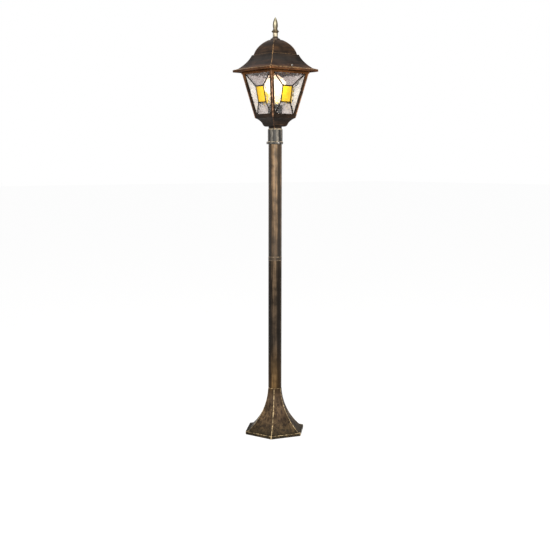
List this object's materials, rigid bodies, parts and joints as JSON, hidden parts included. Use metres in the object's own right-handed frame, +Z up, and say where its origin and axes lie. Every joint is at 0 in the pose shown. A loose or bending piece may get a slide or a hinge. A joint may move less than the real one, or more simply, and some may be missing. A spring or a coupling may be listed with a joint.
{
  "type": "post lantern",
  "caption": "Garden post lantern: flared hexagonal foot, tubular pole and a four-sided leaded glass head with a bell-shaped roof and finial.",
  "frame": {"origin": "on the pole's axis at the underside of the foot", "axes": "+Z up the pole; the lantern's four glazed sides face +X, +Y, -X and -Y, with the roof screws on X"},
  "size_m": [0.18, 0.18, 1.2],
  "materials": {
    "base_paint": "cast, brushed bronze-brown paint",
    "plate_steel": "zinc plated",
    "side_screw_steel": "stainless",
    "grommet_rubber": "matt black",
    "cable_jacket": "matt black sheath",
    "block_plastic": "off-white",
    "terminal_brass": "plated",
    "cleat_plastic": "black",
    "cleat_screw_steel": "zinc plated",
    "earth_nut_steel": "zinc plated",
    "earth_screw_brass": "plain",
    "earth_lead_jacket": "green and yellow",
    "lower_tube_paint": "brushed bronze-brown paint",
    "upper_tube_paint": "brushed bronze-brown paint",
    "coupler_paint": "brushed bronze-brown paint",
    "collar_paint": "gunmetal paint",
    "collar_screw_steel": "bright",
    "nipple_steel": "zinc plated",
    "nut_steel_lower": "zinc plated",
    "washer_steel": "zinc plated",
    "nut_steel_upper": "zinc plated",
    "bowl_paint": "cast, brushed bronze-brown paint",
    "frame_paint": "cast, brushed bronze-brown paint",
    "frame_screw_steel": "zinc plated",
    "clip_steel": "spring steel",
    "clip_screw_steel": "zinc plated",
    "lug_steel": "zinc plated",
    "roof_paint": "welded plate, brushed bronze-brown paint",
    "dome_paint": "welded plate, brushed bronze-brown paint",
    "finial_paint": "olive bronze paint",
    "finial_washer_steel": "zinc plated",
    "finial_nut_steel": "zinc plated",
    "holder_cap_plastic": "black",
    "holder_shell_plastic": "black",
    "insert_ceramic": "glazed ceramic, white",
    "sleeve_brass": "plain",
    "contact_brass": "spring brass",
    "wire_jacket": "brown sleeve",
    "bulb_cap_metal": "bright",
    "bulb_insulator_glass": "black",
    "bulb_tip_brass": "plain",
    "bulb_glass_frosted": "pearl",
    "bulb_stem_glass": "clear",
    "filament_yellow": "coated sticks",
    "clear_glass_right": "hammered, clear",
    "yellow_glass_right": "yellow",
    "leading_right": "dark lead",
    "clear_glass_back": "hammered, clear",
    "yellow_glass_back": "yellow",
    "leading_back": "dark lead",
    "clear_glass_left": "hammered, clear",
    "yellow_glass_left": "yellow",
    "leading_left": "dark lead",
    "clear_glass_front": "hammered, clear",
    "yellow_glass_front": "yellow",
    "leading_front": "dark lead",
    "seal_right": "matt black",
    "roof_screw_right": "bright",
    "seal_left": "matt black",
    "roof_screw_left": "bright"
  },
  "bodies": {
    "post": {"base_casting": "base_paint", "ground_plate": "plate_steel", "base_side_screws": "side_screw_steel", "cable_grommet": "grommet_rubber", "inner_cable": "cable_jacket", "terminal_block": "block_plastic", "terminal_screws": "terminal_brass", "cable_cleat": "cleat_plastic", "cleat_screws": "cleat_screw_steel", "earth_nut": "earth_nut_steel", "earth_screw": "earth_screw_brass", "earth_lead": "earth_lead_jacket", "lower_tube": "lower_tube_paint", "upper_tube": "upper_tube_paint", "tube_coupler": "coupler_paint"},
    "head": {"clamp_collar": "collar_paint", "collar_screws": "collar_screw_steel", "neck_nipple": "nipple_steel", "neck_nut_lower": "nut_steel_lower", "neck_washer": "washer_steel", "neck_nut_upper": "nut_steel_upper", "lower_bowl": "bowl_paint", "lantern_frame": "frame_paint", "frame_screws": "frame_screw_steel", "glass_clips": "clip_steel", "clip_screws": "clip_screw_steel", "roof_lugs": "lug_steel", "holder_cap": "holder_cap_plastic", "holder_shell": "holder_shell_plastic", "holder_insert": "insert_ceramic", "thread_sleeve": "sleeve_brass", "centre_contact": "contact_brass", "holder_wires": "wire_jacket", "clear_glass_right": "clear_glass_right", "yellow_glass_right": "yellow_glass_right", "leading_right": "leading_right", "clear_glass_back": "clear_glass_back", "yellow_glass_back": "yellow_glass_back", "leading_back": "leading_back", "clear_glass_left": "clear_glass_left", "yellow_glass_left": "yellow_glass_left", "leading_left": "leading_left", "clear_glass_front": "clear_glass_front", "yellow_glass_front": "yellow_glass_front", "leading_front": "leading_front"},
    "roof": {"roof_skirt": "roof_paint", "roof_dome": "dome_paint", "finial": "finial_paint", "finial_washer": "finial_washer_steel", "finial_nut": "finial_nut_steel"},
    "roof_seal_right": {"roof_screw_seal_right": "seal_right"},
    "roof_screw_right": {"roof_screw_right": "roof_screw_right"},
    "roof_seal_left": {"roof_screw_seal_left": "seal_left"},
    "roof_screw_left": {"roof_screw_left": "roof_screw_left"},
    "bulb_tip": {"bulb_tip_contact": "bulb_tip_brass"},
    "bulb": {"bulb_cap": "bulb_cap_metal", "bulb_insulator": "bulb_insulator_glass", "bulb_glass": "bulb_glass_frosted", "bulb_stem": "bulb_stem_glass", "bulb_filaments": "filament_yellow"}
  },
  "joints": [
    {"name": "head_swivel", "type": "hinge", "parent": "post", "child": "head", "pos_m": [0, 0, 0.88], "axis": [0, 0, 1], "range_deg": [-170, 170]},
    {"name": "roof_lift", "type": "slide", "parent": "head", "child": "roof", "axis": [0, 0, 1], "range_m": [0, 0.1]},
    {"name": "roof_seal_right_slide", "type": "slide", "parent": "roof", "child": "roof_seal_right", "axis": [1, 0, 0], "range_m": [0, 0.0035]},
    {"name": "roof_screw_right_turn", "type": "hinge", "parent": "roof_seal_right", "child": "roof_screw_right", "pos_m": [0.075, 0, 1.0615], "axis": [1, 0, 0], "continuous": true},
    {"name": "roof_seal_left_slide", "type": "slide", "parent": "roof", "child": "roof_seal_left", "axis": [-1, 0, 0], "range_m": [0, 0.0035]},
    {"name": "roof_screw_left_turn", "type": "hinge", "parent": "roof_seal_left", "child": "roof_screw_left", "pos_m": [-0.075, 0, 1.0615], "axis": [-1, 0, 0], "continuous": true},
    {"name": "bulb_rise", "type": "slide", "parent": "head", "child": "bulb_tip", "axis": [0, 0, 1], "range_m": [0, 0.01452]},
    {"name": "bulb_turn", "type": "hinge", "parent": "bulb_tip", "child": "bulb", "pos_m": [0, 0, 0.95], "axis": [0, 0, 1], "range_deg": [0, 1440]}
  ],
  "couplings": [
    {"joint": "roof_screw_right_turn", "follows": "roof_seal_right_slide", "rad_per_m": 8976},
    {"joint": "roof_screw_left_turn", "follows": "roof_seal_left_slide", "rad_per_m": 8976},
    {"joint": "bulb_rise", "follows": "bulb_turn", "m_per_rad": 0.00057773}
  ]
}
